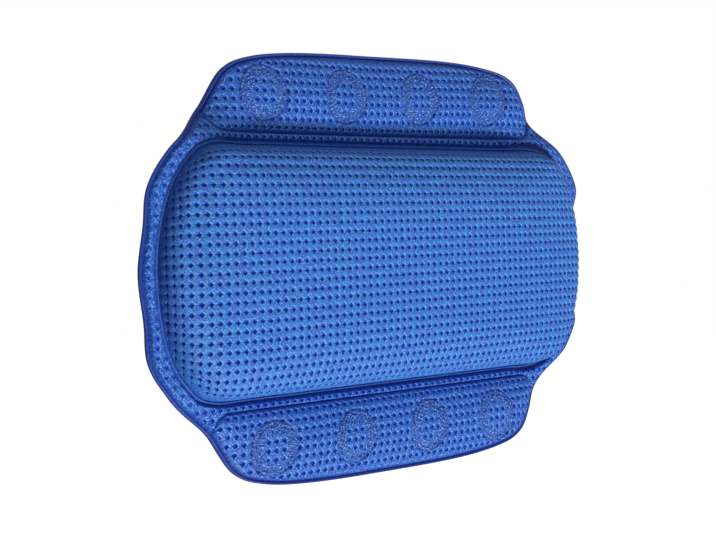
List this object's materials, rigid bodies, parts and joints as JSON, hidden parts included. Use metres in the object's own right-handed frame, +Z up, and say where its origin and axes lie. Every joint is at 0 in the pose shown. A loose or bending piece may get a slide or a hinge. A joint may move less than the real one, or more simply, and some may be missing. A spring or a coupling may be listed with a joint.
{
  "type": "bath pillow",
  "caption": "Padded vinyl bath pillow with a raised head cushion between two fold-back tabs that carry suction cups on their backs.",
  "frame": {"origin": "centre of the pillow on the plane of the tub wall, which the lips of all eight suction cups touch", "axes": "+X to the right across the pillow as seen from its front, +Y from the front of the cushion through the cups into the tub wall, +Z up the pillow towards the upper tab"},
  "size_m": [0.357, 0.0424, 0.248],
  "materials": {
    "cover_vinyl": "satin blue vinyl with an embossed basket weave",
    "back_vinyl": "satin blue vinyl, finely grained",
    "foam": "open-cell foam",
    "clear_vinyl": "clear soft vinyl"
  },
  "bodies": {
    "centre": {"front_cover_centre": "cover_vinyl", "back_cover_centre": "back_vinyl", "head_cushion_foam": "foam"},
    "upper_tab": {"front_cover_upper_tab": "cover_vinyl", "back_cover_upper_tab": "back_vinyl", "upper_tab_foam": "foam", "suction_cup_upper_1": "clear_vinyl", "suction_cup_upper_2": "clear_vinyl", "suction_cup_upper_3": "clear_vinyl", "suction_cup_upper_4": "clear_vinyl"},
    "lower_tab": {"front_cover_lower_tab": "cover_vinyl", "back_cover_lower_tab": "back_vinyl", "lower_tab_foam": "foam", "suction_cup_lower_1": "clear_vinyl", "suction_cup_lower_2": "clear_vinyl", "suction_cup_lower_3": "clear_vinyl", "suction_cup_lower_4": "clear_vinyl"}
  },
  "joints": [
    {"name": "upper_tab_fold", "type": "hinge", "parent": "centre", "child": "upper_tab", "pos_m": [0, -0.011, 0.0727], "axis": [1, 0, 0], "range_deg": [-90, 20], "stiffness_Nm_per_rad": 0.2},
    {"name": "lower_tab_fold", "type": "hinge", "parent": "centre", "child": "lower_tab", "pos_m": [0, -0.011, -0.0727], "axis": [-1, 0, 0], "range_deg": [-90, 20], "stiffness_Nm_per_rad": 0.2}
  ]
}
